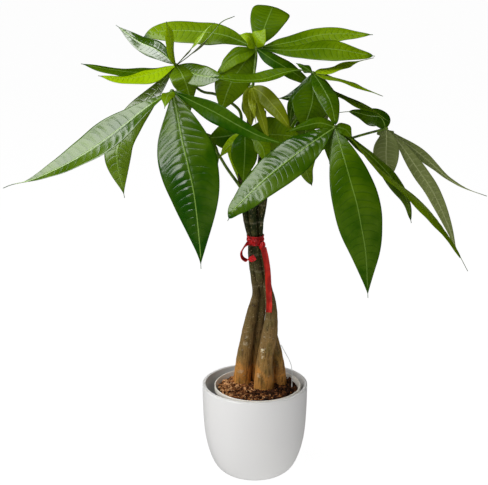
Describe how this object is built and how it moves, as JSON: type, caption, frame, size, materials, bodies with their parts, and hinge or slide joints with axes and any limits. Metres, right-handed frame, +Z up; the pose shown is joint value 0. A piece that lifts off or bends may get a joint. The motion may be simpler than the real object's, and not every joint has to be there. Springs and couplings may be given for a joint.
{
  "type": "potted money tree",
  "caption": "Braided money tree with palmate leaves on long stalks, tied with a ribbon, in a plastic nursery pot of bark soil inside a glazed round cover pot.",
  "frame": {"origin": "centre of the cover pot's flat underside, where it rests", "axes": "+Z up along the pot's axis, +X to the plant's right as it is seen from the front, -Y to the front"},
  "size_m": [0.5973, 0.3, 0.5924],
  "materials": {
    "glaze": "satin",
    "liner_plastic": "satin",
    "soil": "matte",
    "bark": "matte",
    "leaf": "satin",
    "young_leaf": "satin",
    "ribbon": "satin",
    "filament": "gloss"
  },
  "bodies": {
    "root": {"outer_pot": "glaze", "inner_pot": "liner_plastic", "potting_soil": "soil", "trunk_left": "bark", "trunk_middle": "bark", "trunk_front": "bark", "trunk_right": "bark", "ribbon_band": "ribbon", "ribbon_loop": "ribbon", "ribbon_tail": "ribbon", "tag_filament": "filament", "leaf_upper_left": "leaf", "leaf_front_left": "leaf", "leaf_top": "leaf", "leaf_front_right": "leaf", "leaf_centre_right": "leaf", "leaf_far_right": "leaf", "leaf_young_centre": "young_leaf", "leaf_lower_centre": "leaf", "leaf_back_left": "leaf", "leaf_back_right": "leaf"}
  },
  "joints": []
}
